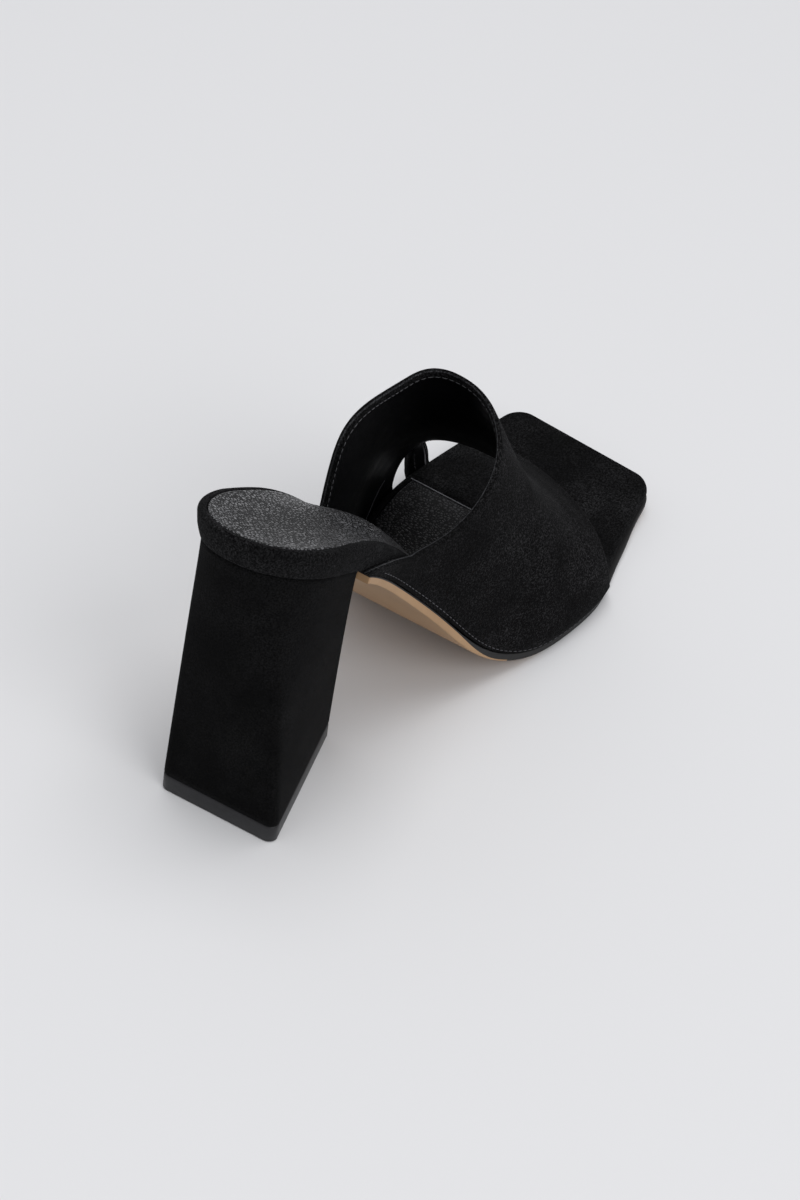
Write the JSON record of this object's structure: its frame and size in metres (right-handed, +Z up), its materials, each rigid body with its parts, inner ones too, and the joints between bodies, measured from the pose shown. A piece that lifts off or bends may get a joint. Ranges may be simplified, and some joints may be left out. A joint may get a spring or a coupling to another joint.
{
  "type": "mule shoe",
  "caption": "Right-foot mule with a wide open-toe suede band, a squared toe, a wrapped footbed and a tall block heel.",
  "frame": {"origin": "centre of the heel top piece's underside, on the floor under the shoe", "axes": "+X from the heel towards the toe, +Y towards the inner side of the foot, +Z up"},
  "size_m": [0.2153, 0.0808, 0.1092],
  "materials": {
    "suede": "matte black suede nap",
    "sock": "black pebbled leather, satin",
    "outsole": "smooth beige, satin",
    "rubber": "black, low sheen"
  },
  "bodies": {
    "root": {"heel_top_piece": "rubber", "heel_block": "suede", "outsole": "outsole", "insole": "suede", "sock": "sock", "upper": "suede"}
  },
  "joints": []
}
